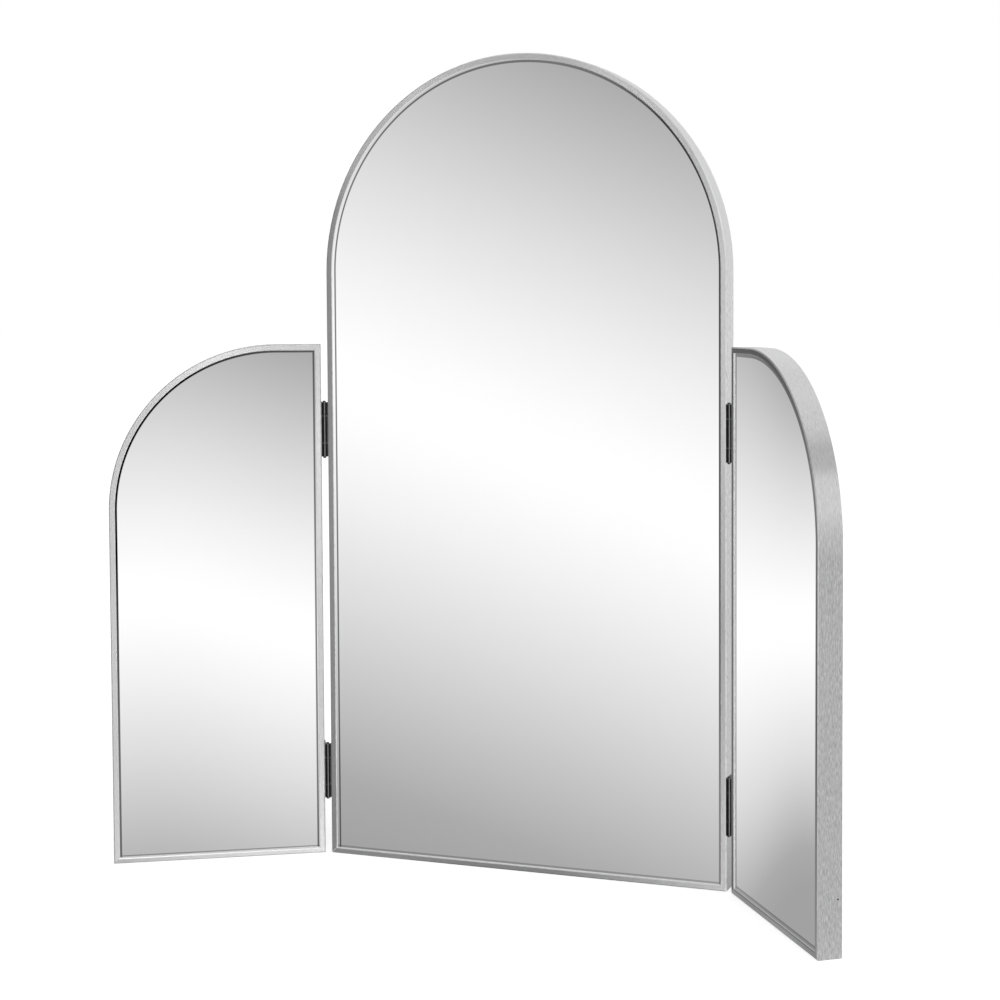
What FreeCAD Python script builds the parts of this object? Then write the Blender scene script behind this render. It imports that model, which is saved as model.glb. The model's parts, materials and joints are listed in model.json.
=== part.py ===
import FreeCAD, Part
import os
import Sketcher

# Trifold vanity mirror: an arched centre panel with a shorter wing hinged to each side.
# Frame: origin in the middle of the centre panel's underside, +X to the viewer's right,
# +Y away from the viewer, +Z up. Every size is in millimetres.
# Each wing's pieces are drawn flat about their own hinge axis and turned to the rest angle.

document = FreeCAD.newDocument("TrifoldMirror")
sheet = document.addObject("Spreadsheet::Sheet", "Sizes")

sizes = {
    # panels
    "centreWidth": 368, "centreHeight": 700, "wingHeight": 453, "wingFlatTop": 39,
    "foldedGap": 1, "leftWingAngle": 31, "rightWingAngle": 52.4,
    # frame section
    "frameWall": 1.5, "lipWidth": 5, "lipThickness": 1.8, "backRecess": 1.2,
    "outerArris": 0.7, "innerArris": 0.4,
    # what the frames hold, from front to back
    "glassThickness": 4, "foamThickness": 1, "coreThickness": 11, "backSheetThickness": 1,
    "panelFit": 0.3,
    # corner keys inside the mitres
    "keyEnd": 8, "keyMargin": 1, "keyThickness": 1.5, "keyFit": 0.1,
    # butt hinges
    "hingeLength": 48, "leafMargin": 3.5, "leafThickness": 1.3,
    "pinRadius": 1.3, "pinClearance": 0.05, "pinEnd": 1,
    "knuckleGap": 0.2, "notchClearance": 0.4, "axisStandoff": 1,
    # from the wing's bottom or top edge to the middle of each hinge
    "leftLowerHinge": 74, "leftUpperInset": 75, "rightLowerHinge": 72, "rightUpperInset": 71,
    # countersunk screw seats in the hinge leaves
    "seatEnd": 10, "seatRadius": 2.85, "seatAngle": 90,
}
for row, (name, value) in enumerate(sizes.items(), start=1):
    sheet.set(f"A{row}", name)
    sheet.set(f"B{row}", str(value))
    sheet.setAlias(f"B{row}", name)

# Sizes that follow from the ones above, kept in the same sheet.
derived = {
    "centreHalf": "centreWidth / 2",
    "archBase": "centreHeight - centreHalf",
    # how far behind the panel's front face each layer starts
    "foamDepth": "lipThickness + glassThickness",
    "coreDepth": "foamDepth + foamThickness",
    "sheetDepth": "coreDepth + coreThickness",
    "frameDepth": "sheetDepth + backSheetThickness + backRecess",
    "insertInset": "frameWall + panelFit",
    "centreFront": "-frameDepth / 2",
    # hinge axes, and the wings as they stand about them
    "barrelRadius": "pinRadius + leafThickness",
    "axisAcross": "centreHalf + barrelRadius",
    "axisDepth": "centreFront - axisStandoff",
    "leftUpperHinge": "wingHeight - leftUpperInset",
    "rightUpperHinge": "wingHeight - rightUpperInset",
    "wingNear": "barrelRadius",
    "wingWidth": "centreHalf - foldedGap",
    "wingFar": "wingNear + wingWidth",
    "wingBend": "wingWidth - wingFlatTop",
    # leaves and their screw seats
    "leafWidth": "axisStandoff + frameDepth - leafMargin",
    "notchEdge": "barrelRadius + notchClearance",
    "seatSetback": "(notchEdge + leafWidth) / 2",
    "seatSpacing": "hingeLength - 2 * seatEnd",
    # corner keys
    "keyArm": "wingFlatTop - keyEnd",
    "keyInset": "frameWall + keyFit",
    "keyInner": "keyInset + keyThickness",
    "keyWidth": "coreThickness - 2 * keyMargin",
    "keyDepth": "coreDepth + keyMargin",
}
for row, (name, formula) in enumerate(derived.items(), start=len(sizes) + 2):
    sheet.set(f"A{row}", name)
    sheet.set(f"B{row}", "=" + formula)
    sheet.setAlias(f"B{row}", name)
document.recompute()

parts = {}


def bound(formula):
    # A formula in sheet names, written the way the document's expressions need it.
    pieces = []
    word = ""
    for letter in f"{formula} ":
        if letter.isalnum():
            word += letter
            continue
        known = word in sizes or word in derived
        pieces.append(f"Sizes.{word}" if known else word)
        pieces.append(letter)
        word = ""
    return "".join(pieces).strip()


def amount(formula):
    # The number that a formula gives now; the sketches start from it.
    return float(sheet.evalExpression(bound(formula)))


def newBody(label, severalSolids=False):
    body = document.addObject("PartDesign::Body", label)
    body.Label = label
    body.AllowCompound = severalSolids
    parts[label] = body
    return body


def turnAbout(body, side, angle="0"):
    # Carries a piece drawn about a hinge axis to that axis, turned forward by the angle.
    body.Placement = FreeCAD.Placement(
        FreeCAD.Vector(), FreeCAD.Rotation(FreeCAD.Vector(0, 0, 1), 1))
    body.setExpression("Placement.Base.x", bound(f"{side} * axisAcross"))
    body.setExpression("Placement.Base.y", bound("axisDepth"))
    body.setExpression("Placement.Rotation.Angle", bound(f"{-side} * {angle}"))


def originOf(body, role):
    return [item for item in body.Origin.OriginFeatures if item.Role == role][0]


def newSketch(body, name, plane, offset="0"):
    # A sketch on one of the body's own origin planes, moved along the plane's normal.
    sketch = body.newObject("Sketcher::SketchObject", f"{body.Name}_{name}")
    sketch.AttachmentSupport = [(originOf(body, plane), "")]
    sketch.MapMode = "FlatFace"
    sketch.setExpression("AttachmentOffset.Base.z", bound(offset))
    return sketch


def constrain(sketch, formula, *references):
    index = sketch.addConstraint(Sketcher.Constraint(*references, amount(formula)))
    sketch.setExpression(f"Constraints[{index}]", bound(formula))


def fixPoint(sketch, edge, end, across, up):
    constrain(sketch, across, "DistanceX", -1, 1, edge, end)
    constrain(sketch, up, "DistanceY", -1, 1, edge, end)


def drawPath(sketch, points, arcs=None, closed=True):
    # Straight edges between points given as formulas. An edge whose number is in arcs
    # is an arc about the centre given there, clockwise or not.
    arcs = arcs or {}
    spots = [FreeCAD.Vector(amount(across), amount(up), 0) for across, up in points]
    count = len(points) if closed else len(points) - 1
    edges = []
    ends = []
    for step in range(count):
        start = spots[step]
        end = spots[(step + 1) % len(spots)]
        if step not in arcs:
            edges.append(sketch.addGeometry(Part.LineSegment(start, end)))
            ends.append((1, 2))
            continue
        across, up, clockwise = arcs[step]
        centre = FreeCAD.Vector(amount(across), amount(up), 0)
        circle = Part.Circle(centre, FreeCAD.Vector(0, 0, 1), (start - centre).Length)
        span = (end, start) if clockwise else (start, end)
        edges.append(sketch.addGeometry(Part.ArcOfCircle(
            circle, circle.parameter(span[0]), circle.parameter(span[1]))))
        ends.append((2, 1) if clockwise else (1, 2))
        constrain(sketch, up, "DistanceY", -1, 1, edges[-1], 3)
    for step in range(count):
        fixPoint(sketch, edges[step], ends[step][0], *points[step])
        if closed or step + 1 < count:
            following = (step + 1) % count
            sketch.addConstraint(Sketcher.Constraint(
                "Coincident", edges[step], ends[step][1], edges[following], ends[following][0]))
    if not closed:
        fixPoint(sketch, edges[-1], ends[-1][1], *points[-1])


def drawCircle(sketch, across, up, radius):
    centre = FreeCAD.Vector(amount(across), amount(up), 0)
    edge = sketch.addGeometry(Part.Circle(centre, FreeCAD.Vector(0, 0, 1), amount(radius)))
    fixPoint(sketch, edge, 3, across, up)
    constrain(sketch, radius, "Radius", edge)


def shapeFrom(body, kind, sketch, length, reverse=False, both=False):
    # A pad or a pocket of the sketch, with its length given as a formula.
    feature = body.newObject(f"PartDesign::{kind}", f"{sketch.Name}_{kind}")
    feature.Profile = sketch
    feature.Reversed = reverse
    feature.SideType = "Symmetric" if both else "One side"
    feature.setExpression("Length", bound(length))
    return feature


class Panel:
    """One framed mirror, drawn flat. Its depths are counted back from its front face."""

    def __init__(self, label, front):
        self.label = label
        self.front = front

    def body(self, piece, severalSolids=False):
        return newBody(f"{self.label}_{piece}", severalSolids)

    def frontSketch(self, body, name, depth="0"):
        # Seen from the front: across is X and up is Z. The plane's normal points at the viewer.
        return newSketch(body, name, "XZ_Plane", f"-({self.front} + {depth})")

    def insert(self, piece, depth, thickness):
        # A flat sheet of the panel's outline that fills the frame with a small gap.
        body = self.body(piece)
        sketch = self.frontSketch(body, "outline", depth)
        drawPath(sketch, *self.outline("insertInset"))
        shapeFrom(body, "Pad", sketch, thickness, reverse=True)
        return body

    def drawSection(self, sketch, edge, inward, upright):
        # The frame's section: a lip in front of the glass and a wall around the edge,
        # with both front edges of the lip eased. A rail's section is drawn on its side.
        profile = [("outerArris", "0"), ("lipWidth - innerArris", "0"), ("lipWidth", "innerArris"),
                   ("lipWidth", "lipThickness"), ("frameWall", "lipThickness"),
                   ("frameWall", "frameDepth"), ("0", "frameDepth"), ("0", "outerArris")]
        corners = []
        for inset, depth in profile:
            across = f"{edge} + {inward} * ({inset})"
            back = f"{self.front} + {depth}"
            corners.append((across, back) if upright else (back, across))
        drawPath(sketch, corners)

    def bentRail(self, piece, edge, inward, spine):
        # One length of section bent around the panel, from the foot of a stile.
        body = self.body(piece)
        path = self.frontSketch(body, "path")
        drawPath(path, *spine, closed=False)
        section = newSketch(body, "section", "XY_Plane")
        self.drawSection(section, edge, inward, upright=True)
        pipe = body.newObject("PartDesign::AdditivePipe", f"{body.Name}_bend")
        pipe.Profile = section
        pipe.Spine = path
        return body

    def straightRail(self, piece, start, length, reverse=False, both=False):
        # The rail under the panel, its section drawn at the rail's start.
        body = self.body(piece)
        section = newSketch(body, "section", "YZ_Plane", start)
        self.drawSection(section, "0", 1, upright=False)
        shapeFrom(body, "Pad", section, length, reverse, both)
        return body

    def mitre(self, body, corners, isRail):
        # Cuts the piece along the diagonal at each corner and keeps the stile or the rail.
        sketch = self.frontSketch(body, "mitre")
        over = "frameWall"
        reach = "lipWidth + frameWall"
        for across, up, inward, upward in corners:
            square = (f"-{over}", reach) if isRail else (reach, f"-{over}")
            offsets = [(f"-{over}", f"-{over}"), (reach, reach), square]
            drawPath(sketch, [(f"{across} + {inward} * ({right})", f"{up} + {upward} * ({top})")
                              for right, top in offsets])
        shapeFrom(body, "Pocket", sketch, "4 * frameDepth", both=True)

    def cornerLoops(self, sketch, outer, inner, arm):
        # An L at each mitre, its two arms along the frame.
        offsets = [(outer, outer), (arm, outer), (arm, inner), (inner, inner), (inner, arm), (outer, arm)]
        for across, up, inward, upward in self.corners:
            drawPath(sketch, [(f"{across} + {inward} * ({right})", f"{up} + {upward} * ({top})")
                              for right, top in offsets])

    def cornerKeys(self):
        body = self.body("corner_keys", severalSolids=True)
        sketch = self.frontSketch(body, "keys", "keyDepth")
        self.cornerLoops(sketch, "keyInset", "keyInner", "keyArm")
        shapeFrom(body, "Pad", sketch, "keyWidth", reverse=True)

    def coreBoard(self):
        # The board that carries the glass, with room for the corner keys.
        body = self.insert("core_board", "coreDepth", "coreThickness")
        notches = self.frontSketch(body, "notches")
        self.cornerLoops(notches, "frameWall", "keyInner + keyFit", "keyArm + keyFit")
        shapeFrom(body, "Pocket", notches, "4 * frameDepth", both=True)


class CentrePanel(Panel):
    """The arched panel: two stiles and a half circle bent from one length."""

    corners = [("-centreHalf", "0", 1, 1), ("centreHalf", "0", -1, 1)]

    def __init__(self):
        super().__init__("centre", "centreFront")

    def outline(self, inset):
        right = f"centreHalf - {inset}"
        left = f"-(centreHalf - {inset})"
        return [(right, inset), (left, inset), (left, "archBase"), (right, "archBase")], {
            2: ("0", "archBase", True)}

    def build(self):
        spine = ([("centreHalf", "0"), ("centreHalf", "archBase"), ("-centreHalf", "archBase"),
                  ("-centreHalf", "0")], {1: ("0", "archBase", False)})
        arch = self.bentRail("arch_frame", "centreHalf", -1, spine)
        self.mitre(arch, self.corners, isRail=False)
        rail = self.straightRail("bottom_rail", "0", "centreWidth", both=True)
        self.mitre(rail, self.corners, isRail=True)
        self.insert("mirror", "lipThickness", "glassThickness")
        self.insert("foam_pad", "foamDepth", "foamThickness")
        self.coreBoard()
        self.insert("back_sheet", "sheetDepth", "backSheetThickness")
        self.cornerKeys()


class WingPanel(Panel):
    """A side panel, drawn flat about its hinge axis: square at the hinge, round outside."""

    def __init__(self, label, side, angle):
        super().__init__(f"{label}_wing", "axisStandoff")
        self.side = side
        self.angle = angle
        self.near = f"{side} * wingNear"
        self.far = f"{side} * wingFar"
        self.corners = [(self.near, "0", side, 1), (self.far, "0", -side, 1),
                        (self.near, "wingHeight", side, -1)]

    def body(self, piece, severalSolids=False):
        body = super().body(piece, severalSolids)
        turnAbout(body, self.side, self.angle)
        return body

    def outline(self, inset):
        near = f"{self.side} * (wingNear + {inset})"
        far = f"{self.side} * (wingFar - {inset})"
        bend = f"{self.side} * (wingFar - wingBend)"
        base = "wingHeight - wingBend"
        points = [(far, inset), (near, inset), (near, f"wingHeight - {inset}"),
                  (bend, f"wingHeight - {inset}"), (far, base)]
        return points, {3: (bend, base, self.side > 0)}

    def build(self):
        bend = f"{self.side} * (wingFar - wingBend)"
        base = "wingHeight - wingBend"
        spine = ([(self.far, "0"), (self.far, base), (bend, "wingHeight"),
                  (self.near, "wingHeight")], {1: (bend, base, self.side < 0)})
        outer = self.bentRail("bent_rail", self.far, -self.side, spine)
        self.mitre(outer, [self.corners[1]], isRail=False)
        self.mitre(outer, [self.corners[2]], isRail=True)
        stile = self.body("hinge_stile")
        section = newSketch(stile, "section", "XY_Plane")
        self.drawSection(section, self.near, self.side, upright=True)
        shapeFrom(stile, "Pad", section, "wingHeight")
        self.mitre(stile, [self.corners[0], self.corners[2]], isRail=False)
        rail = self.straightRail("bottom_rail", self.near, "wingWidth", reverse=self.side < 0)
        self.mitre(rail, self.corners[:2], isRail=True)
        self.insert("mirror", "lipThickness", "glassThickness")
        self.insert("foam_pad", "foamDepth", "foamThickness")
        self.coreBoard()
        self.insert("back_sheet", "sheetDepth", "backSheetThickness")
        self.cornerKeys()


class Hinge:
    """A butt hinge drawn about its own axis: two leaves and the pin they share."""

    def __init__(self, label, side, height, angle):
        self.label = label
        self.side = side
        self.height = height
        self.angle = angle
        self.bottom = f"{height} - hingeLength / 2"
        self.top = f"{height} + hingeLength / 2"

    def leaf(self, piece, direction, isOuter, angle, bore):
        # A plate against the frame, curled into the knuckles that run on the pin.
        body = newBody(f"{self.label}_hinge_{piece}")
        turnAbout(body, self.side, angle)
        half = f"(hingeLength / 4 {'+' if isOuter else '-'} knuckleGap / 2)"
        low = f"{self.height} - {half}"
        high = f"{self.height} + {half}"
        plate = newSketch(body, "plate", "YZ_Plane", f"{direction} * pinRadius")
        if isOuter:
            edge = [("0", self.top), ("0", high), ("notchEdge", high),
                    ("notchEdge", low), ("0", low), ("0", self.bottom)]
            spans = [(self.bottom, f"hingeLength / 2 - {half}"), (high, f"hingeLength / 2 - {half}")]
        else:
            edge = [("notchEdge", self.top), ("notchEdge", high), ("0", high),
                    ("0", low), ("notchEdge", low), ("notchEdge", self.bottom)]
            spans = [(low, f"2 * {half}")]
        drawPath(plate, [("leafWidth", self.bottom), ("leafWidth", self.top)] + edge)
        shapeFrom(body, "Pad", plate, "leafThickness", reverse=direction < 0)
        for number, (start, length) in enumerate(spans):
            knuckle = newSketch(body, f"knuckle{number}", "XY_Plane", start)
            drawCircle(knuckle, "0", "0", "barrelRadius")
            shapeFrom(body, "Pad", knuckle, length)
        hole = newSketch(body, "bore", "XY_Plane", self.height)
        drawCircle(hole, "0", "0", bore)
        shapeFrom(body, "Pocket", hole, "2 * hingeLength", both=True)
        seats = newSketch(body, "seats", "YZ_Plane", f"{direction} * pinRadius")
        for sign in ("-", "+"):
            drawCircle(seats, "seatSetback", f"{self.height} {sign} seatSpacing / 2", "seatRadius")
        cone = shapeFrom(body, "Pocket", seats, "leafThickness", reverse=direction > 0)
        cone.setExpression("TaperAngle", bound("-seatAngle / 2"))

    def pin(self):
        # The pin stands a little out of the barrel at both ends.
        body = newBody(f"{self.label}_hinge_pin")
        turnAbout(body, self.side)
        sketch = newSketch(body, "round", "XY_Plane", f"{self.bottom} - pinEnd")
        drawCircle(sketch, "0", "0", "pinRadius")
        shapeFrom(body, "Pad", sketch, "hingeLength + 2 * pinEnd")

    def build(self):
        self.leaf("centre_leaf", -self.side, True, "0", "pinRadius")
        self.leaf("wing_leaf", self.side, False, self.angle, "pinRadius + pinClearance")
        self.pin()


CentrePanel().build()
for label, side in (("left", -1), ("right", 1)):
    angle = f"{label}WingAngle"
    WingPanel(label, side, angle).build()
    for level in ("Lower", "Upper"):
        Hinge(f"{label}_{level.lower()}", side, f"{label}{level}Hinge", angle).build()
document.recompute()

# Nothing is written unless every object is sound and every cut has removed something.
for item in document.Objects:
    if "Invalid" in item.State or "Error" in item.State:
        raise RuntimeError(f"{item.Name} failed: {item.State}")
    if item.TypeId == "PartDesign::Pocket":
        if item.Shape.Volume > item.BaseFeature.Shape.Volume - 0.01:
            raise RuntimeError(f"{item.Name} cuts nothing")
for label, body in parts.items():
    if body.Shape.isNull() or not body.Shape.isValid() or not body.Shape.Solids:
        raise RuntimeError(f"{label} has no valid solid")

os.makedirs("parts", exist_ok=True)
for label, body in parts.items():
    body.Shape.exportStep(f"parts/{label}.step")
    print(label, len(body.Shape.Solids), round(body.Shape.Volume, 1))
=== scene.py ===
import json
import math
import bmesh
import bpy
import numpy as np
from mathutils import Matrix, Vector

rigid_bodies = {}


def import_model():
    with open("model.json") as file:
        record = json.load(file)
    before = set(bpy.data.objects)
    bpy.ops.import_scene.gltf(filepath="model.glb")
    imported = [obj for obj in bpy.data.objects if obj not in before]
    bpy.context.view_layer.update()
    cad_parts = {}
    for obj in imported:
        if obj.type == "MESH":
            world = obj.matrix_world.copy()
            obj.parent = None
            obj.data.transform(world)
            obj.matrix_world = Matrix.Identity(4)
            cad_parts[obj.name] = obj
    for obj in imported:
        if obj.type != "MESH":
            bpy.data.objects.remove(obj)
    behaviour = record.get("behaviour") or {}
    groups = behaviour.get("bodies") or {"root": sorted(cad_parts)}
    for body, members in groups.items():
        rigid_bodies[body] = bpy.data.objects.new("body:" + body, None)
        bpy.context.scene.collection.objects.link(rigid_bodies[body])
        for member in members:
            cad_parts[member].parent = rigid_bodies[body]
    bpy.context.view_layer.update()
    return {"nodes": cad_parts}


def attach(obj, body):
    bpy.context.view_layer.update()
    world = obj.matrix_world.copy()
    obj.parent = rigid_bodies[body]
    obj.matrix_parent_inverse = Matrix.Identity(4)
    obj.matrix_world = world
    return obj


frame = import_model()
mm = 0.001
noiseMean = 0.5
print("frame loaded:", len(frame["nodes"]), "nodes")

# Each panel's own flat plan (mm, degrees): where its hinge axis stands, or the middle of the
# centre's front, how far it is turned about that place, the way its width runs, and how far
# behind that place its front face lies.
panels = {
    "centre": {"origin": (0, -10), "turn": 0, "side": 1, "front": 0},
    "left_wing": {"origin": (-186.6, -11), "turn": 31, "side": -1, "front": 1},
    "right_wing": {"origin": (186.6, -11), "turn": -52.4, "side": 1, "front": 1},
}
# The outlines in those plans (mm): the arch's radius and the height where it starts, the wing's
# near and far edges, its shoulder's radius and its top, and the width of the lip.
frameLine = {"archRadius": 184, "archBase": 516, "wingNear": 2.6, "wingFar": 185.6,
             "wingRadius": 144, "wingTop": 453, "lip": 5}

# The camera: place in mm, turns in degrees, focal length and picture middle in pixels, the
# sensor's width in mm and how far it sees in metres.
cameraView = {"place": (683.56, -1616.98, 494.79), "yaw": 19.6685, "pitch": 2.9156, "roll": 0.1253,
              "focal": 2050.16, "middle": (640, 400), "picture": 1000, "sensor": 36, "farthest": 50}


def makeCamera(view):
    # The viewing axes from yaw, pitch and roll: forward, then right and down turned by the roll.
    # The lens is the sensor's width times the focal length over the picture's width, and the
    # shift is the way from the picture's middle to its centre over that width.
    yaw, pitch, roll = (math.radians(view[name]) for name in ("yaw", "pitch", "roll"))
    forward = Vector((-math.sin(yaw) * math.cos(pitch), math.cos(yaw) * math.cos(pitch),
                      -math.sin(pitch)))
    level = Vector((math.cos(yaw), math.sin(yaw), 0))
    below = forward.cross(level)
    right = math.cos(roll) * level + math.sin(roll) * below
    down = math.cos(roll) * below - math.sin(roll) * level
    data = bpy.data.cameras.new("viewCamera")
    data.sensor_width = view["sensor"]
    data.lens = view["sensor"] * view["focal"] / view["picture"]
    centre = (view["picture"] - 1) / 2
    data.shift_x = (centre - view["middle"][0]) / view["picture"]
    data.shift_y = (view["middle"][1] - centre) / view["picture"]
    data.clip_end = view["farthest"]
    camera = bpy.data.objects.new("viewCamera", data)
    axes = Matrix((right, -down, -forward)).transposed().to_4x4()
    camera.matrix_world = Matrix.Translation(Vector(view["place"]) * mm) @ axes
    bpy.context.scene.collection.objects.link(camera)
    bpy.context.scene.camera = camera


makeCamera(cameraView)
print("camera placed")


class Wire:
    # One value inside a material. Arithmetic on it adds Math nodes.
    def __init__(self, paint, socket):
        self.paint = paint
        self.socket = socket

    def __add__(self, other):
        return self.paint.math("ADD", self, other)

    def __sub__(self, other):
        return self.paint.math("SUBTRACT", self, other)

    def __rsub__(self, other):
        return self.paint.math("SUBTRACT", other, self)

    def __mul__(self, other):
        return self.paint.math("MULTIPLY", self, other)

    def __truediv__(self, other):
        return self.paint.math("DIVIDE", self, other)

    __radd__ = __add__
    __rmul__ = __mul__


class Paint:
    # Builds one node tree.
    def __init__(self, tree):
        self.tree = tree
        tree.nodes.clear()

    def node(self, kind, settings, sockets):
        # One node: its settings, where stops and easing belong to a ramp, and its sockets, each
        # a number or a wire.
        made = self.tree.nodes.new("ShaderNode" + kind)
        for name, value in settings.items():
            if name == "stops":
                ramp = made.color_ramp
                while len(ramp.elements) < len(value):
                    ramp.elements.new(0.5)
                for element, (place, level) in zip(ramp.elements, value):
                    element.position = place
                    element.color = (level, level, level, 1)
            elif name == "easing":
                made.color_ramp.interpolation = value
            else:
                setattr(made, name, value)
        for name, value in sockets.items():
            if isinstance(value, Wire):
                self.tree.links.new(value.socket, made.inputs[name])
            else:
                made.inputs[name].default_value = value
        return made

    def wire(self, made, output=0):
        return Wire(self, made.outputs[output])

    def math(self, operation, *terms):
        return self.wire(self.node("Math", {"operation": operation}, dict(enumerate(terms))))

    def smooth(self, value, low, high):
        # 0 below low, 1 above high, eased between.
        return self.wire(self.node("MapRange", {"interpolation_type": "SMOOTHSTEP"}, {
            "Value": value, "From Min": low, "From Max": high}))

    def blend(self, factor, first, second):
        # first where the factor is 0 and second where it is 1, for numbers.
        return first + (second - first) * factor

    def ramp(self, value, stops, easing="LINEAR"):
        return self.wire(self.node("ValToRGB", {"stops": stops, "easing": easing}, {"Fac": value}))

    def vector(self, across, along, up):
        return self.wire(self.node("CombineXYZ", {}, {"X": across, "Y": along, "Z": up}))

    def split(self, place):
        parts = self.node("SeparateXYZ", {}, {0: place})
        return [self.wire(parts, number) for number in range(3)]

    def place(self, kind="Object"):
        # The point that is shaded, in metres, or for Generated the direction looked in.
        return self.wire(self.node("TexCoord", {}, {}), kind)

    def noise(self, place, size, detail, roughness):
        # Grey noise whose blotches are about size wide in the units of place.
        return self.wire(self.node("TexNoise", {}, {
            "Vector": place, "Scale": 1.0 / size, "Detail": detail, "Roughness": roughness}))

    def tint(self, level, colour):
        # A grey level times a fixed colour.
        return self.wire(self.node("VectorMath", {"operation": "MULTIPLY"}, {
            0: self.vector(level, level, level), 1: colour}))

    def rays(self):
        # 1 for what the camera sees straight, and 1 for what glass and metal send on.
        path = self.node("LightPath", {}, {})
        sent = self.math("MAXIMUM", self.wire(path, "Is Glossy Ray"),
                         self.wire(path, "Is Transmission Ray"))
        return self.wire(path, "Is Camera Ray"), sent

    def plan(self, panel):
        # Where a point lies in a panel's flat plan, in mm: across from the hinge axis or the
        # middle, back from the front face, and up.
        spec = panels[panel]
        turned = self.node("Mapping", {"vector_type": "TEXTURE"}, {
            "Vector": self.place(), "Location": (spec["origin"][0] * mm, spec["origin"][1] * mm, 0),
            "Rotation": (0, 0, math.radians(spec["turn"])), "Scale": (mm, mm, mm)})
        across, depth, up = self.split(self.wire(turned))
        return across * spec["side"], depth - spec["front"], up


def newMaterial(name):
    material = bpy.data.materials.new(name)
    material.use_nodes = True
    return material, Paint(material.node_tree)


def finishMaterial(paint, fixed, colour, rough, bump=None, strength=0, distance=0):
    # The surface shader: fixed numbers on its own sockets, and what varies over the surface.
    sockets = dict(fixed)
    sockets["Base Color"] = colour
    sockets["Roughness"] = rough
    if bump is not None:
        sockets["Normal"] = paint.wire(paint.node("Bump", {}, {
            "Strength": strength, "Distance": distance, "Height": bump}))
    shader = paint.node("BsdfPrincipled", {}, sockets)
    paint.node("OutputMaterial", {}, {"Surface": paint.wire(shader)})


def edgePlan(paint, panel, across, up):
    # The frame's own lines: how far in from the outer edge a point lies, which is the radius less
    # its distance from the arc's centre, and how far along the bent length it lies, which is the
    # angle round that centre times the radius, and on the straights the way along them.
    line = frameLine
    if panel == "centre":
        bent = paint.math("ABSOLUTE", across)
        over = paint.math("MAXIMUM", up - line["archBase"], 0)
        radius = line["archRadius"]
        beyond = paint.math("MINIMUM", up - line["archBase"], 0)
    else:
        centreAcross = line["wingFar"] - line["wingRadius"]
        centreUp = line["wingTop"] - line["wingRadius"]
        bent = paint.math("MAXIMUM", across - centreAcross, 0)
        over = paint.math("MAXIMUM", up - centreUp, 0)
        radius = line["wingRadius"]
        beyond = (paint.math("MINIMUM", up - centreUp, 0)
                  - paint.math("MINIMUM", across - centreAcross, 0))
    reach = paint.math("SQRT", bent * bent + over * over)
    return radius - reach, paint.math("ARCTAN2", over, bent) * radius + beyond


# Brushed aluminium. Its grain is three noises, each with its share in the tone, its width across
# the grain and its length along it (mm), its detail and its share in the relief (the fine one's
# is 1). Relief is in metres.
aluminium = {
    "rough": 0.40, "roughStreak": 0.25, "frontShare": 0.45, "noiseRoughness": 0.55,
    "cast": (1, 1, 1.004), "bump": 0.25, "relief": 0.00003,
    "broad": {"share": 0.15, "width": 2.0, "length": 60, "detail": 3, "relief": 0.5},
    "coarse": {"share": 1.0, "width": 0.8, "length": 5, "detail": 4, "relief": 0.5},
    "fine": {"share": 0.6, "width": 0.3, "length": 3, "detail": 2}}
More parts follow.
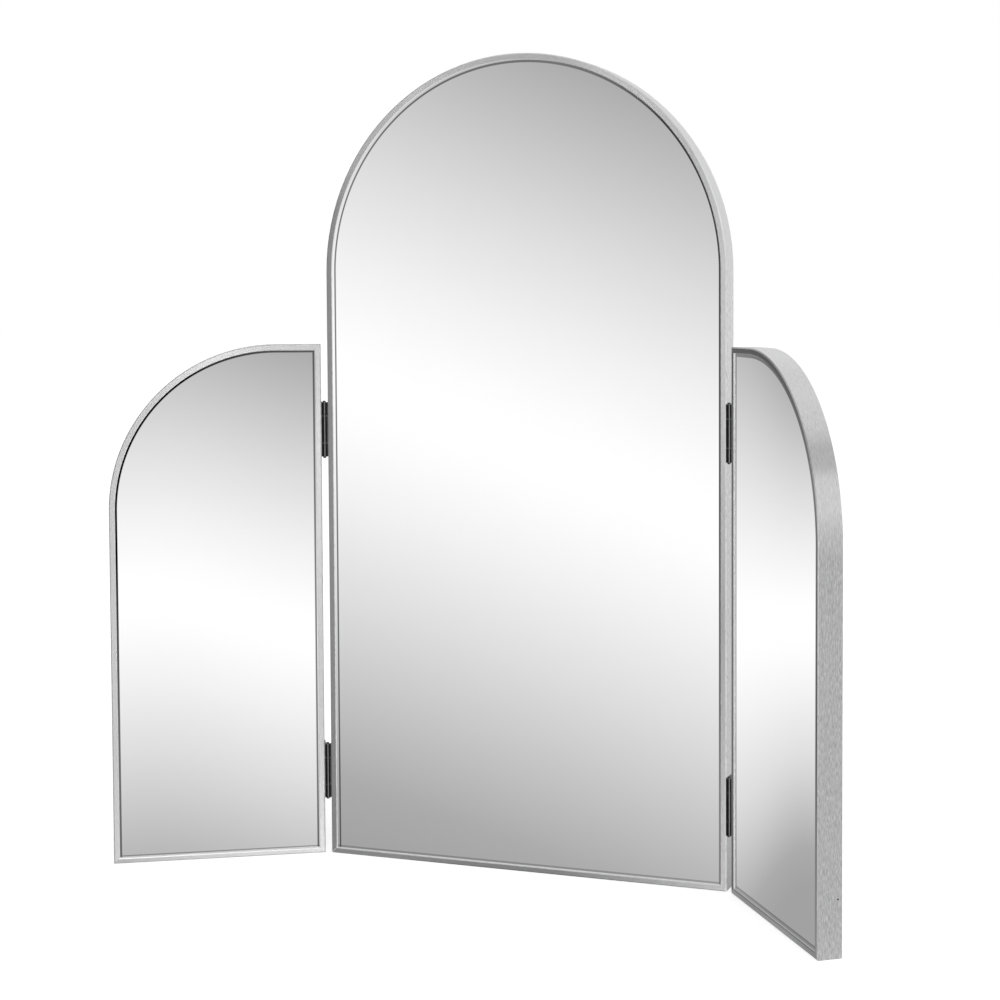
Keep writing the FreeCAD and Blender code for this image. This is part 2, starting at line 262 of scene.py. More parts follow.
# Tones are painted light and shade, set per piece and place: how bright each face's reflections
# and highlights look and how dark its shade falls, painted into the metal's colour. They are given
# for the front of the lip, the eased edge and the diagonal joint (mitre), a real joint line whose
# brightness is painted light, by the place across, the side by its height, and the wall beside the
# glass, whose painted highlight reaches a bead's width onto the front. Climb multiplies the front's
# tone by height, painting light and shade up the frame, and takes hold from the first place across
# in climbOver to the second. Grain and frontGrain are how strongly the streaks show on the side and
# on the front, by height, in place of 1 and frontShare. Run is the way the grain lies: round the
# bend, along a rail or up a stile.
paintedFrameLight = {
    # The arch: a side darker low down as painted shade, and a front with painted highlights and
    # shade across and by height.
    "centre_arch_frame": {
        "run": "bend", "wall": 1.0, "bead": 0.05,
        "grain": [(0, 1.6), (480, 1.6), (560, 0.5), (700, 0.5)],
        "frontGrain": [(0, 0.45), (490, 0.45), (540, 0.1), (700, 0.1)],
        "side": [(0, 0.38), (25, 0.46), (90, 0.66), (300, 0.72), (460, 0.82)],
        "front": [(-184, 0.42), (-176, 0.43), (-155, 0.69), (-95, 0.91), (-20, 0.76), (30, 0.75),
                  (75, 0.91), (110, 0.92), (155, 0.78), (184, 0.88)],
        "climb": [(0, 1.03), (60, 0.96), (220, 0.68), (400, 0.94), (460, 0.97), (520, 0.98)],
        "climbOver": (0, 100),
        "edge": [(-184, 0.3), (-173, 0.35), (-155, 0.65), (-100, 1.0), (90, 0.96), (120, 0.85),
                 (184, 0.95)],
        "mitre": [(-184, 0.95), (184, 1.0)], "mitreWidth": 0.7},
    # The bottom rail: its dark edge in the middle is a painted shadow line where it meets the
    # floor.
    "centre_bottom_rail": {
        "run": "rail", "wall": 0.98, "bead": 0.8, "side": [(0, 0.6), (300, 0.6)],
        "front": [(-184, 0.44), (-120, 0.47), (-40, 0.40), (30, 0.41), (110, 0.62), (184, 0.88)],
        "edge": [(-184, 0.5), (-120, 0.45), (-60, 0.24), (60, 0.24), (184, 0.65)],
        "mitre": [(-184, 0.95), (184, 1.0)], "mitreWidth": 0.7},
    "left_wing_hinge_stile": {
        "run": "stile", "wall": 0.95, "bead": 0.4, "side": [(0, 0.8), (300, 0.8)],
        "front": [(0, 0.66), (8, 0.66)],
        "climb": [(0, 1.3), (60, 1.08), (130, 0.93), (220, 0.94), (300, 1.08), (360, 1.1),
                  (453, 0.98)],
        "climbOver": (-2, -1), "edge": [(0, 0.58), (8, 0.58)], "mitre": [(0, 0.75), (8, 0.75)],
        "mitreWidth": 0.3},
    "left_wing_bent_rail": {
        "run": "bend", "wall": 1.0, "bead": 0.4, "side": [(0, 0.8), (300, 0.8)],
        "frontGrain": [(0, 0.45), (300, 0.45), (330, 0.1), (453, 0.1)],
        "front": [(0, 0.61), (50, 0.63), (90, 0.71), (125, 0.60), (150, 0.51), (185, 0.475)],
        "climb": [(0, 1.2), (90, 1.05), (453, 1.0)], "climbOver": (0, 100),
        "edge": [(0, 0.8), (60, 0.8), (110, 0.98), (150, 0.9), (185, 0.5)],
        "mitre": [(0, 0.6), (185, 0.5)], "mitreWidth": 0.3},
    "left_wing_bottom_rail": {
        "run": "rail", "wall": 1.0, "bead": 1.3, "side": [(0, 0.7), (300, 0.7)],
        "front": [(0, 0.82), (80, 0.69), (185, 0.42)],
        "edge": [(0, 0.7), (185, 0.5)], "mitre": [(0, 0.8), (185, 0.5)], "mitreWidth": 0.3},
    # The right wing's hinge stile: its dark front is painted shade and a painted dark reflection.
    "right_wing_hinge_stile": {
        "run": "stile", "wall": 0.95, "bead": 0.3, "side": [(0, 0.5), (300, 0.5)],
        "front": [(0, 0.20), (8, 0.20)], "edge": [(0, 0.4), (8, 0.4)],
        "mitre": [(0, 0.9), (8, 0.9)], "mitreWidth": 0.5},
    # The right wing's bent rail: a dark painted front, and painted highlights and darker bands up
    # its side.
    "right_wing_bent_rail": {
        "run": "bend", "wall": 0.5, "bead": 0.4,
        "grain": [(0, 1.35), (290, 1.35), (330, 0.7), (453, 0.5)],
        "side": [(0, 0.70), (25, 0.645), (300, 0.62), (335, 0.85), (358, 0.80), (369, 0.60),
                 (381, 0.62), (396, 0.88), (420, 1.02), (453, 0.80)],
        "front": [(0, 0.21), (185, 0.19)],
        "climb": [(0, 3.1), (100, 1.6), (145, 0.8), (180, 0.65), (230, 0.8), (300, 1.1),
                  (350, 1.6), (453, 0.8)],
        "climbOver": (0, 100),
        "edge": [(0, 0.9), (185, 0.95)], "mitre": [(0, 0.5), (185, 0.5)], "mitreWidth": 0.3},
    "right_wing_bottom_rail": {
        "run": "rail", "wall": 0.48, "bead": 0.4, "side": [(0, 0.5), (300, 0.5)],
        "front": [(0, 0.58), (50, 0.53), (90, 0.64), (130, 0.66), (185, 0.55)],
        "edge": [(0, 0.5), (185, 0.5)], "mitre": [(0, 0.9), (185, 0.4)], "mitreWidth": 0.4},
}
# The lip's section (mm): its outer and inner eased edges, and over what way one face's tone
# passes into the next one's.
section = {"outerArris": 0.7, "innerArris": 0.4, "offFront": (0.02, 0.14), "inner": 0.75,
           "wall": 0.04, "bead": 0.1, "side": 0.05, "edge": 0.45, "joint": 0.04}


def between(paint, value, ends, tones):
    # A tone that runs evenly from the first end to the second.
    share = paint.node("MapRange", {}, {"Value": value, "From Min": ends[0], "From Max": ends[1]})
    return paint.blend(paint.wire(share), *tones)


def toneAlong(paint, value, stops):
    # A tone that runs evenly from each (place, tone) stop to the next.
    low, high = stops[0][0], stops[-1][0]
    share = paint.node("MapRange", {}, {"Value": value, "From Min": low, "From Max": high})
    return paint.ramp(paint.wire(share),
                      [((place - low) / (high - low), tone) for place, tone in stops])


def mitreLine(paint, panel, inset, across, up):
    # How far a point lies from the nearest diagonal joint: the difference of its distances
    # from the two edges that meet there, or, past the lip, its distance from the corner.
    line = frameLine

    def corner(first, second):
        return paint.math("MAXIMUM", paint.math("ABSOLUTE", first - second),
                          first - line["lip"] - section["innerArris"])

    gap = corner(inset, up)
    if panel != "centre":
        near = across - line["wingNear"]
        gap = paint.math("MINIMUM", gap, corner(near, up))
        gap = paint.math("MINIMUM", gap, corner(near, line["wingTop"] - up))
    return gap


def brushedMetal(name, piece, panel):
    # The face's tone, which is painted light and shade, times 1 plus the streaks: three noises
    # squeezed across the grain and stretched along it.
    material, paint = newMaterial(name)
    across, depth, up = paint.plan(panel)
    tones = paintedFrameLight[piece]
    inset, bentLength = edgePlan(paint, panel, across, up)
    cross, along = {"bend": (inset, bentLength), "rail": (up, across),
                    "stile": (across - frameLine["wingNear"], up)}[tones["run"]]
    spec = aluminium

    def grain(layer):
        width, length = layer["width"], layer["length"]
        place = paint.vector(cross / width, depth / width, along / length)
        return paint.noise(place, 1, layer["detail"], spec["noiseRoughness"]) - noiseMean

    broad, coarse, fine = (grain(spec[layer]) for layer in ("broad", "coarse", "fine"))
    # Which face a point is on, from its depth behind the front and its distance in.
    lip, outer, arris = frameLine["lip"], section["outerArris"], section["innerArris"]
    offFront = paint.smooth(depth, *section["offFront"])
    inner = paint.smooth(cross, lip - section["inner"], lip - arris)
    onWall = paint.smooth(depth, arris - section["wall"], arris + section["wall"])
    bead = paint.smooth(cross, lip - tones["bead"] - section["bead"],
                        lip - tones["bead"] + section["bead"])
    onSide = paint.smooth(depth, outer - section["side"], outer + section["side"])
    eased = 1 - paint.smooth(cross, outer, outer + section["edge"])
    # These tones are painted light and shade; the mitre's tone is painted light on a real joint
    # line.
    edge = toneAlong(paint, across, tones["edge"])
    front = toneAlong(paint, across, tones["front"])
    if "climb" in tones:
        climbs = paint.smooth(across, *tones["climbOver"])
        front = front * paint.blend(climbs, 1, toneAlong(paint, up, tones["climb"]))
    front = paint.blend(bead, paint.blend(eased, front, edge), tones["wall"])
    side = paint.blend(onSide, edge, toneAlong(paint, up, tones["side"]))
    tone = paint.blend(inner, paint.blend(offFront, front, side),
                       paint.blend(onWall, front, tones["wall"]))
    fromJoint = mitreLine(paint, panel, inset, across, up)
    joint = 1 - paint.smooth(fromJoint, section["joint"], tones["mitreWidth"])
    tone = paint.blend(joint, tone, toneAlong(paint, across, tones["mitre"]))
    streaks = (broad * spec["broad"]["share"] + coarse * spec["coarse"]["share"]
               + fine * spec["fine"]["share"])
    frontShare = spec["frontShare"]
    if "frontGrain" in tones:
        frontShare = toneAlong(paint, up, tones["frontGrain"])
    sideShare = toneAlong(paint, up, tones["grain"]) if "grain" in tones else 1
    share = paint.blend(offFront, frontShare, sideShare)
    level = tone * (streaks * share + 1)
    rough = (coarse + fine) * spec["roughStreak"] + spec["rough"]
    relief = (broad * spec["broad"]["relief"] + coarse * spec["coarse"]["relief"] + fine) * share
    finishMaterial(paint, {"Metallic": 1.0}, paint.tint(level, spec["cast"]), rough,
                   relief, spec["bump"], spec["relief"])
    return material


# Mirror glass: the silver's level and roughness, a cloud over both (size in mm), and how softly
# the line beside the frame starts and stops (mm).
silvering = {"level": 0.985, "cast": (1, 1, 1), "rough": 0.012, "haze": 0.02,
             "hazeOver": (0.35, 0.75), "cloudSize": 45, "cloudDetail": 4, "cloudRoughness": 0.6,
             "cloudShare": 0.01, "startEase": 0.2, "stopEase": 0.25}
# Beside the frame a dark line is painted onto the silver, a painted reflection of the lip's shaded
# back: how far in from the lip it starts and stops (mm) at the low and the high end across, how
# dark it is at the low end and, by the height, at the high end. Foot is the same painted shade
# along the bottom, upwards from the lip.
paintedGlassShade = {
    "centre": {"ends": (-120, 120), "start": (2.0, -0.5), "stop": (3.5, 2.0), "low": 0.22,
               "high": [(0, 0.42), (60, 0.34), (150, 0.18), (300, 0.09), (640, 0.09), (690, 0.5)],
               "foot": [(0, 1), (0.4, 1), (0.6, 0.62), (1.9, 0.62), (2.2, 1), (3.6, 1)]},
    "left_wing": {"ends": (20, 120), "start": (0.5, -0.5), "stop": (2.1, 1.8), "low": 0.22,
                  "high": [(0, 0.27), (40, 0.25), (260, 0), (453, 0)],
                  "foot": [(0, 1), (0.5, 1), (0.7, 0.5), (1.5, 0.5), (1.7, 1), (3.6, 1)]},
    "right_wing": {"ends": (20, 120), "start": (-0.2, -0.5), "stop": (2.8, 3.8), "low": 0.38,
                   "high": [(0, 0.25), (453, 0.25)],
                   "foot": [(0, 0.68), (1.5, 0.68), (1.8, 0.48), (3.0, 0.48), (3.4, 1), (3.6, 1)]},
}


def mirrorGlass(name, panel):
    # Silvered glass with a faint cloudiness, and a painted dark line beside the frame that stands
    # in for the reflected shade of the lip's back.
    material, paint = newMaterial(name)
    across, depth, up = paint.plan(panel)
    spec = silvering
    line = frameLine
    edge = paintedGlassShade[panel]
    inside = edgePlan(paint, panel, across, up)[0]
    if panel != "centre":
        inside = paint.math("MINIMUM", inside, across - line["wingNear"])
        inside = paint.math("MINIMUM", inside, line["wingTop"] - up)
    past = inside - line["lip"]
    start = past - between(paint, across, edge["ends"], edge["start"])
    stop = past - between(paint, across, edge["ends"], edge["stop"])
    clear = (1 - paint.smooth(start, -spec["startEase"], spec["startEase"])
             + paint.smooth(stop, -spec["stopEase"], spec["stopEase"]))
    cloud = paint.noise(paint.vector(across, depth, up), spec["cloudSize"], spec["cloudDetail"],
                        spec["cloudRoughness"])
    # Foot paints a shade line on the silver just above the bottom lip.
    foot = toneAlong(paint, up - line["lip"], edge["foot"])
    silver = (spec["level"] - cloud * spec["cloudShare"]) * foot
    # The painted shade line's darkness: across, and by height at the high end.
    dark = paint.blend(between(paint, across, edge["ends"], (0, 1)), edge["low"],
                       toneAlong(paint, up, edge["high"]))
    level = paint.blend(clear, dark, silver)
    rough = paint.smooth(cloud, *spec["hazeOver"]) * spec["haze"] + spec["rough"]
    finishMaterial(paint, {"Metallic": 1.0}, paint.tint(level, spec["cast"]), rough)
    return material


# Black coated steel of the hinges and their fixings. Grain and patch are in mm, relief in metres.
blackSteel = {"level": 0.0005, "rough": 0.19, "ior": 1.5, "gloss": 0.12, "cast": (1, 1, 1.02),
              "grain": 0.35, "patch": 4, "detail": 3, "noiseRoughness": 0.6,
              "rub": 0.002, "rubOver": (0.5, 0.8), "peel": 0.001, "peelRough": 0.1,
              "bump": 0.2, "relief": 0.00005}


def blackCoat(name):
    # Baked black coating: fine orange peel, and patches rubbed a little greyer.
    material, paint = newMaterial(name)
    spec = blackSteel
    place = paint.place()
    peel = paint.noise(place, spec["grain"] * mm, spec["detail"], spec["noiseRoughness"])
    patch = paint.noise(place, spec["patch"] * mm, spec["detail"], spec["noiseRoughness"])
    rubbed = paint.smooth(patch, *spec["rubOver"]) * spec["rub"]
    level = rubbed + peel * spec["peel"] + spec["level"]
    rough = peel * spec["peelRough"] + spec["rough"] - spec["peelRough"] * noiseMean
    fixed = {"Metallic": 0.0, "IOR": spec["ior"], "Specular IOR Level": spec["gloss"]}
    finishMaterial(paint, fixed, paint.tint(level, spec["cast"]), rough,
                   peel, spec["bump"], spec["relief"])
    return material


# The pressed sheets behind the glass: width and length of their fibres in mm, and how far the
# fibres and the clouds stray from the colour. Pressing is the same for both, with the cloud's
# size in mm and the relief in metres.
boards = {
    "fibreBoard": {"colour": (0.46, 0.34, 0.22), "contrast": 0.5, "fibre": 0.25, "length": 3.0,
                   "rough": 0.75, "bump": 0.3},
    "blackBackingPaper": {"colour": (0.030, 0.030, 0.032), "contrast": 0.9, "fibre": 0.3,
                          "length": 5.0, "rough": 0.62, "bump": 0.35}}
pressing = {"fibreDetail": 3, "fibreRoughness": 0.6, "cloud": 60, "cloudDetail": 4,
            "cloudRoughness": 0.5, "cloudShare": 0.5, "cloudRough": 0.12, "relief": 0.00006}


def boardFinish(name):
    # A pressed sheet: the mean of fibres that lie up and of fibres that lie across, over soft
    # clouds.
    material, paint = newMaterial(name)
    spec = boards[name]
    place = paint.place()
    x, y, z = paint.split(place)
    thin, drawn = spec["fibre"] * mm, spec["length"] * mm

    def fibres(across, along, up):
        return paint.noise(paint.vector(x / across, y / along, z / up), 1,
                           pressing["fibreDetail"], pressing["fibreRoughness"])

    weft = fibres(thin, thin, drawn)
    warp = fibres(drawn, thin, thin)
    cloud = paint.noise(place, pressing["cloud"] * mm, pressing["cloudDetail"],
                        pressing["cloudRoughness"])
    woven = (weft * 0.5 + warp * 0.5 - noiseMean) * spec["contrast"]
    level = woven + (cloud - noiseMean) * spec["contrast"] * pressing["cloudShare"] + 1
    finishMaterial(paint, {"Metallic": 0.0}, paint.tint(level, spec["colour"]),
                   cloud * pressing["cloudRough"] + spec["rough"],
                   weft + warp, spec["bump"], pressing["relief"])
    return material


# Foam between the glass and the board: cells to the metre, shaded darker towards their edges.
foamSheet = {"colour": (0.86, 0.86, 0.84), "cells": 1100.0, "shadeOver": (0.1, 0.6),
             "shade": -0.18, "level": 0.95, "rough": 0.85, "cellRough": 0.05, "bump": 0.4,
             "relief": 0.0001}


def foamFinish(name, spec):
    # Closed-cell foam: round cells a millimetre across.
    material, paint = newMaterial(name)
    cells = paint.wire(paint.node("TexVoronoi", {}, {"Vector": paint.place(),
                                                     "Scale": spec["cells"]}))
    level = paint.smooth(cells, *spec["shadeOver"]) * spec["shade"] + spec["level"]
    finishMaterial(paint, {"Metallic": 0.0}, paint.tint(level, spec["colour"]),
                   spec["rough"] + cells * spec["cellRough"], cells, spec["bump"], spec["relief"])
    return material


# Zinc plate of the corner keys. The grain is in mm.
zincPlate = {"level": 0.45, "spread": 0.25, "cast": (0.98, 0.99, 1.0), "grain": 1.6, "detail": 4,
             "noiseRoughness": 0.6, "rough": 0.3, "roughSpread": 0.2, "bump": 0.15,
             "relief": 0.00003}


def zincFinish(name, spec):
    # Zinc plate: pale grains with a faint blue cast.
    material, paint = newMaterial(name)
    grains = paint.noise(paint.place(), spec["grain"] * mm, spec["detail"], spec["noiseRoughness"])
    level = grains * spec["spread"] + spec["level"]
    finishMaterial(paint, {"Metallic": 1.0}, paint.tint(level, spec["cast"]),
                   grains * spec["roughSpread"] + spec["rough"],
                   grains, spec["bump"], spec["relief"])
    return material


hingeCoat = blackCoat("hingeBlack")
finishes = {"foam_pad": foamFinish("whiteFoam", foamSheet), "core_board": boardFinish("fibreBoard"),
            "back_sheet": boardFinish("blackBackingPaper"),
            "corner_keys": zincFinish("zincPlate", zincPlate),
            "centre_leaf": hingeCoat, "wing_leaf": hingeCoat, "hinge_pin": hingeCoat}
for panel in panels:
    finishes[f"{panel}_mirror"] = mirrorGlass(f"{panel}_silverGlass", panel)
for piece in paintedFrameLight:
    owner = [panel for panel in panels if piece.startswith(panel)][0]
    finishes[piece] = brushedMetal(f"{piece}_aluminium", piece, owner)
for name, node in frame["nodes"].items():
    ending = [key for key in sorted(finishes, key=len) if name.endswith(key)][-1]
    node.material_slots[0].material = finishes[ending]
print("finishes on", len(frame["nodes"]), "nodes")


# Fixings too small for the solids, placed from the hinge axes (mm): heights of the hinges' middles,
# the screws in the leaves, the rounded ends of the pins and the nail through each outer stile.
hinges = {"left_wing": (74, 378), "right_wing": (72, 382)}
hingeFit = {"length": 48, "pinRadius": 1.3, "pinEnd": 1, "seatSetback": 10.25, "seatSpacing": 28}
screw = {"head": 2.8, "neck": 1.6, "depth": 1.2, "rim": 0.12, "sunk": 0.03, "slotWidth": 0.42,
         "slotReach": 1.55, "slotDepth": 0.75, "slope": 0.16, "rings": 30, "turns": 64}
pinDome = {"radius": 1.27, "height": 0.42, "rings": 9, "turns": 40}
nail = {"radius": 0.7, "height": 0.25, "across": 185.6, "back": 16.6, "up": 45, "rings": 9,
        "turns": 40}
# Points nearer than weld are one, edges shorter than least go (both in metres), and an edge that
# turns by more than sharp (degrees) stays hard.
meshing = {"weld": 1e-7, "least": 1e-8, "sharp": 40}


def turned(radius, height, turns):
    # A profile turned about Z: each point is (radius cos t, radius sin t, height).
    angle = np.linspace(0, 2 * np.pi, turns, endpoint=False)[None, :]
    across, level = np.asarray(radius)[:, None], np.asarray(height)[:, None]
    return np.stack([across * np.cos(angle), across * np.sin(angle), level + 0 * angle], -1)


def screwHead(spec):
    # A sunk cone under a flat top. The cross sinks the top where a point is near either axis
    # and within the reach: depth times the eased product of both conditions.
    top = np.linspace(0, spec["head"], spec["rings"])
    radius = np.concatenate([top, [spec["head"], spec["neck"], 0]])
    height = np.concatenate([0 * top, [-spec["rim"], -spec["depth"], -spec["depth"]]])
    grid = turned(radius, height, spec["turns"])
    flat = np.abs(grid[:len(top), :, :2])
    narrow = np.clip((spec["slotWidth"] - flat.min(-1)) / spec["slope"] + 0.5, 0, 1)
    reach = np.clip((spec["slotReach"] - flat.max(-1)) / (2 * spec["slope"]) + 0.5, 0, 1)
    grid[:len(top), :, 2] -= spec["slotDepth"] * narrow * reach
    return grid


def dome(spec):
    # A cap whose height falls off with the cosine of the way out, on a flat base.
    way = np.linspace(0, np.pi / 2, spec["rings"])
    radius = np.concatenate([spec["radius"] * np.sin(way), [0]])
    height = np.concatenate([spec["height"] * np.cos(way), [0]])
    return turned(radius, height, spec["turns"])


def facing(grid, direction, place):
    # Turns a shape made along Z to face a direction in the panel's flat plan, and moves it there.
    aim = Vector(direction).to_track_quat("Z", "Y").to_matrix()
    return grid @ np.array(aim).T + np.array(place)


def fromAxis(grids, panel, folded):
    # From the hinge axis's own plan to the row frame: turned with the wing, or as the centre lies.
    turn = math.radians(panels[panel]["turn"]) if folded else 0
    across, depth = panels[panel]["origin"]
    spin = np.array([[math.cos(turn), math.sin(turn), 0], [-math.sin(turn), math.cos(turn), 0],
                     [0, 0, 1]])
    return [(grid @ spin + np.array([across, depth, 0])) * mm for grid in grids]


def addPiece(name, grids, body, material):
    # One mesh from several grids, each closed round its second direction.
    points, faces, start = [], [], 0
    for grid in grids:
        rows, columns = grid.shape[:2]
        number = start + np.arange(rows * columns).reshape(rows, columns)
        after = np.roll(number, -1, axis=1)
        faces.append(np.stack([number[:-1], number[1:], after[1:], after[:-1]], -1).reshape(-1, 4))
        points.append(grid.reshape(-1, 3))
        start += rows * columns
    mesh = bpy.data.meshes.new(name)
    mesh.from_pydata(np.concatenate(points).tolist(), [], np.concatenate(faces).tolist())
    shape = bmesh.new()
    shape.from_mesh(mesh)
    bmesh.ops.remove_doubles(shape, verts=shape.verts, dist=meshing["weld"])
    bmesh.ops.dissolve_degenerate(shape, edges=shape.edges, dist=meshing["least"])
    bmesh.ops.recalc_face_normals(shape, faces=shape.faces)
    shape.to_mesh(mesh)
    shape.free()
    mesh.shade_smooth()
    mesh.set_sharp_from_angle(angle=math.radians(meshing["sharp"]))
    mesh.materials.append(material)
    piece = bpy.data.objects.new(name, mesh)
    piece.visible_glossy = False  # no loose dots in the glass, which doesn't show the hinges
    bpy.context.scene.collection.objects.link(piece)
    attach(piece, body)


for panel, heights in hinges.items():
    side = panels[panel]["side"]
    half = hingeFit["seatSpacing"] / 2
    rows = [height + offset for height in heights for offset in (-half, half)]
    inset = hingeFit["pinRadius"] + screw["sunk"]
    for body, direction, name in (("centre_panel", -side, panel.replace("wing", "centre")),
                                  (panel, side, panel)):
        heads = [facing(screwHead(screw), (-direction, 0, 0),
                        (direction * inset, hingeFit["seatSetback"], row)) for row in rows]
        heads = fromAxis(heads, panel, body == panel)
        addPiece(f"{name}_leaf_screws", heads, body, hingeCoat)
    reach = hingeFit["length"] / 2 + hingeFit["pinEnd"]
    ends = [facing(dome(pinDome), (0, 0, way), (0, 0, height + way * reach))
            for height in heights for way in (-1, 1)]
    ends = fromAxis(ends, panel, False)
    addPiece(f"{panel}_pin_ends", ends, "centre_panel", hingeCoat)
    place = (side * nail["across"], panels[panel]["front"] + nail["back"], nail["up"])
    heads = fromAxis([facing(dome(nail), (side, 0, 0), place)], panel, True)
    addPiece(f"{panel}_stile_nail", heads, panel, hingeCoat)
print("fixings made")

# The room (metres, degrees). Metal and glass see a bright band, and past its ends a surround by
# the bearing, 0 in front and 90 to the right, and one level high up and low down. The box is a
# tall soft light in front, a little to the right.
room = {"whiteFloor": 0.86, "floorGlow": 0.6, "floorReach": 20, "floorLines": 9,
        "floorBelow": 0.0004, "ambient": 0.55,
        "boxBearing": 18, "boxHalf": 5, "boxEase": 2, "boxReach": 22, "boxFade": 5, "boxLevel": 4.0,
        "surround": [(-180, 0.9), (-148, 0.85), (-130, 0.15), (-115, 0.03), (-85, 0.22),
                     (-60, 0.27), (-29, 0.20), (-18, 0.36), (0, 0.6), (30, 0.5), (58, 0.5),
                     (75, 1.2), (92, 0.9), (120, 0.6), (160, 0.85)],
        "steepOver": (35, 60), "steepLevel": 0.6}
# The band, in degrees. Each Over is the bearings from which and to which one value gives way to
# the next. Its middle is a height on the left, the right and the far right, and ahead it slopes
# with the bearing. Widths divide the way from the middle: on the far left and the left, then on
# the right and ahead, where the first is above the middle and the second below. On the left the
# tail makes the light fall sooner below the middle. Light is the level by the divided way over
# the reach. It gives way to the surround where the divided way passes endOver, and behind.
band = {"startOver": (-44, -36), "stopOver": (-10, -2), "rightOver": (10, 20),
        "farRightOver": (28.5, 34.5), "farLeftOver": (-122.2, -119.8), "leftOver": (-54, -44),
        "left": -9.144, "right": -8.123, "farRight": -9.448,
        "slope": -0.3833, "slopeBearing": 27, "slopeDrop": 2.686, "belowOver": 1.5,
        "leftWidths": (0.903, 0.667), "rightWidths": (0.782, 0.759), "aheadWidths": (1.128, 1.096),
        "tailOver": (5, 10), "tail": 1.044, "reach": 20, "endOver": (15, 19),
        "light": [(0, 1.04), (0.06, 1.0), (0.145, 0.91), (0.27, 0.745), (0.4, 0.555),
                  (0.5, 0.415), (0.58, 0.37), (0.8, 0.36)],
        "behindBearing": 20, "behindOver": (106, 122)}
# The lamps: place, aim and size in metres, and watts.
lamps = {"keyLamp": {"place": (2.2, -1.6, 2.0), "aim": (0, 0, 0.35), "size": 1.4, "watts": 30},
         "fillLamp": {"place": (-1.6, -2.4, 2.6), "aim": (0, 0, 0.35), "size": 1.8, "watts": 10},
         "hingeLamp": {"place": (1.5, -2.1, -0.1), "aim": (0, 0, 0.2), "size": 1.7, "watts": 165},
         "topLamp": {"place": (0.6, -0.9, 2.2), "aim": (0, 0, 0.35), "size": 0.3, "watts": 14}}


def makeLamp(name, spec):
    # A round lamp that faces its aim.
    data = bpy.data.lights.new(name, "AREA")
    data.shape = "DISK"
    data.size = spec["size"]
    data.energy = spec["watts"]
    made = bpy.data.objects.new(name, data)
    made.location = spec["place"]
    way = Vector(spec["aim"]) - Vector(spec["place"])
    made.rotation_euler = way.to_track_quat("-Z", "Y").to_euler()
    made.visible_glossy = False  # metal and glass see the room, not the lamps
    bpy.context.scene.collection.objects.link(made)
    return made


def makeFloor(spec):
    # A flat sheet in five metre squares, just below the underside. Metal and glass don't see it.
    lines = spec["floorLines"]
    steps = np.linspace(-spec["floorReach"], spec["floorReach"], lines)
    across, along = np.meshgrid(steps, steps, indexing="ij")
    points = np.stack([across, along, np.full_like(across, -spec["floorBelow"])], -1).reshape(-1, 3)
    squares = np.arange(lines - 1)
    corner = (squares[:, None] * lines + squares[None, :]).ravel()
    faces = np.stack([corner, corner + lines, corner + lines + 1, corner + 1], -1)
    mesh = bpy.data.meshes.new("floor")
    mesh.from_pydata(points.tolist(), [], faces.tolist())
    floor = bpy.data.objects.new("floor", mesh)
    bpy.context.scene.collection.objects.link(floor)
    material, paint = newMaterial("floorWhite")
    camera, sent = paint.rays()
    matt = paint.node("BsdfDiffuse", {}, {"Color": (spec["whiteFloor"],) * 3 + (1,)})
    glow = paint.node("Emission", {}, {"Strength": camera * spec["floorGlow"]})
    lit = paint.node("AddShader", {}, {0: paint.wire(matt), 1: paint.wire(glow)})
    clear = paint.node("BsdfTransparent", {}, {})
    both = paint.node("MixShader", {}, {0: sent, 1: paint.wire(lit), 2: paint.wire(clear)})
    paint.node("OutputMaterial", {}, {"Surface": paint.wire(both)})
    mesh.materials.append(material)


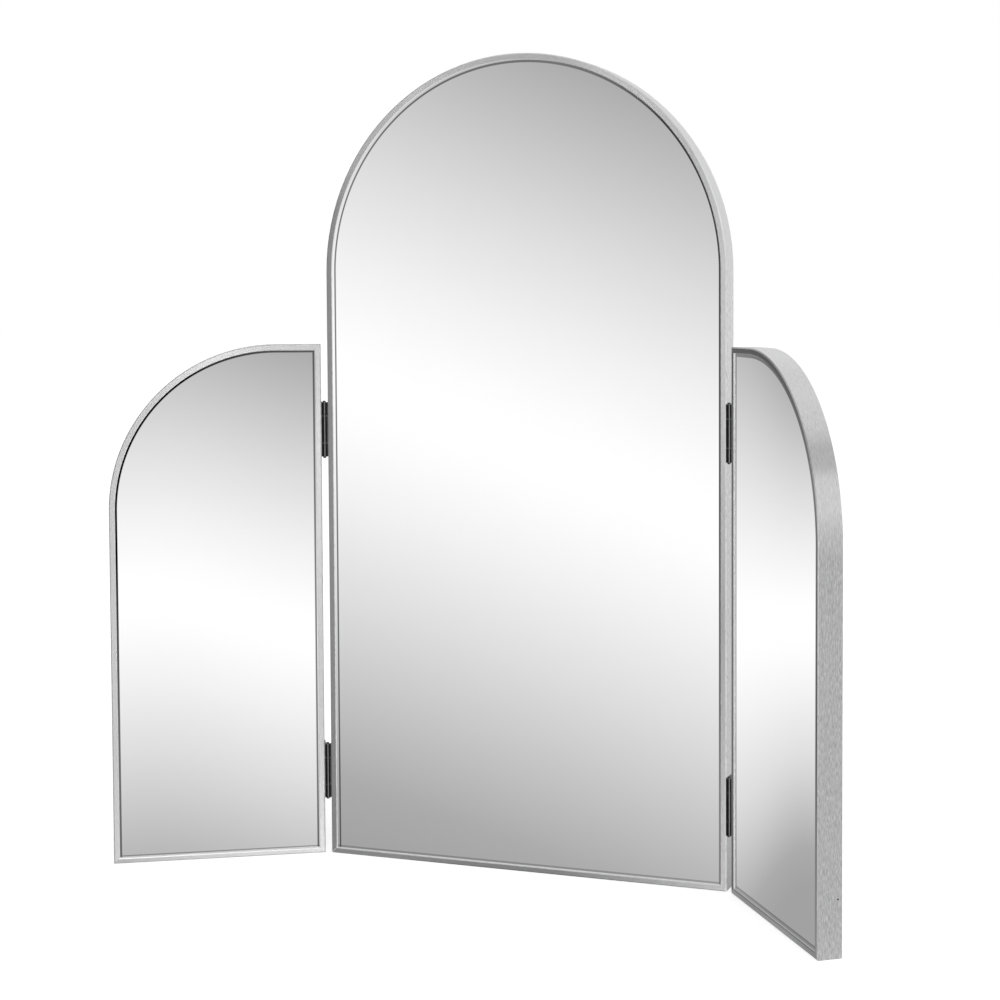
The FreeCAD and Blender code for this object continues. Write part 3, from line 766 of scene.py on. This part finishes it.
def makeWorld(spec, band):
    # White to the camera. Metal and glass see the band, whose light goes by the way of a height
    # from the band's middle divided by its width, then the surround, plus the box. Everything
    # else is lit evenly.
    world = bpy.data.worlds.new("studio")
    bpy.context.scene.world = world
    world.use_nodes = True
    paint = Paint(world.node_tree)
    x, y, z = paint.split(paint.place("Generated"))
    bearing = paint.math("ARCTAN2", x, y * -1) * math.degrees(1)
    height = paint.math("ARCTAN2", z, paint.math("SQRT", x * x + y * y)) * math.degrees(1)
    steep = paint.math("ABSOLUTE", height)

    def past(name):
        # How far a bearing has got past one of the band's pairs: 0 before it and 1 after.
        return paint.smooth(bearing, *band[name])

    ahead = past("startOver") - past("stopOver")
    onRight = paint.blend(past("farRightOver"), band["right"], band["farRight"])
    level = paint.blend(past("rightOver"), band["left"], onRight)
    sloping = (bearing + band["slopeBearing"]) * band["slope"] - band["slopeDrop"]
    middle = paint.blend(ahead, level, sloping)
    below = paint.smooth(middle - height, -band["belowOver"], band["belowOver"])
    rightward = past("leftOver")
    width = paint.blend(rightward, paint.blend(past("farLeftOver"), *band["leftWidths"]),
                        paint.blend(below, *band["rightWidths"]))
    width = paint.blend(ahead, width, paint.blend(below, *band["aheadWidths"]))
    off = paint.math("ABSOLUTE", height - middle) / width
    off = off + paint.smooth(off, *band["tailOver"]) * below * (1 - rightward) * band["tail"]
    light = paint.ramp(off / band["reach"], band["light"])
    surround = paint.ramp((bearing + 180) / 360,
                          [((turn + 180) / 360, tone) for turn, tone in spec["surround"]], "EASE")
    surround = paint.blend(paint.smooth(steep, *spec["steepOver"]), surround, spec["steepLevel"])
    behind = paint.smooth(paint.math("ABSOLUTE", bearing + band["behindBearing"]),
                          *band["behindOver"])
    ended = paint.math("MAXIMUM", paint.smooth(off, *band["endOver"]), behind)
    studio = paint.blend(ended, light, surround)
    aside = paint.math("ABSOLUTE", bearing - spec["boxBearing"])
    box = 1 - paint.smooth(aside, spec["boxHalf"] - spec["boxEase"],
                           spec["boxHalf"] + spec["boxEase"])
    box = box * (1 - paint.smooth(steep, spec["boxReach"] - spec["boxFade"],
                                  spec["boxReach"] + spec["boxFade"]))
    studio = studio + box * spec["boxLevel"]
    camera, sent = paint.rays()
    seen = paint.blend(camera, paint.blend(sent, spec["ambient"], studio), 1.0)
    sky = paint.node("Background", {}, {"Color": paint.vector(seen, seen, seen), "Strength": 1.0})
    paint.node("OutputWorld", {}, {"Surface": paint.wire(sky)})


makeFloor(room)
makeWorld(room, band)
for node in frame["nodes"].values():
    node.visible_glossy = False  # glass and metal show the clear room and not each other
madeLamps = {name: makeLamp(name, spec) for name, spec in lamps.items()}
# Two lamps light the black hinges alone: a broad one in front and a small one overhead.
blackParts = bpy.data.collections.new("blackParts")
for item in bpy.data.objects:
    if item.type == "MESH" and hingeCoat in item.data.materials[:]:
        blackParts.objects.link(item)
for name in ("hingeLamp", "topLamp"):
    madeLamps[name].visible_glossy = True
    madeLamps[name].visible_camera = False
    madeLamps[name].light_linking.receiver_collection = blackParts
    madeLamps[name].light_linking.blocker_collection = blackParts
bpy.context.scene.view_settings.view_transform = "Standard"
print("room lit")
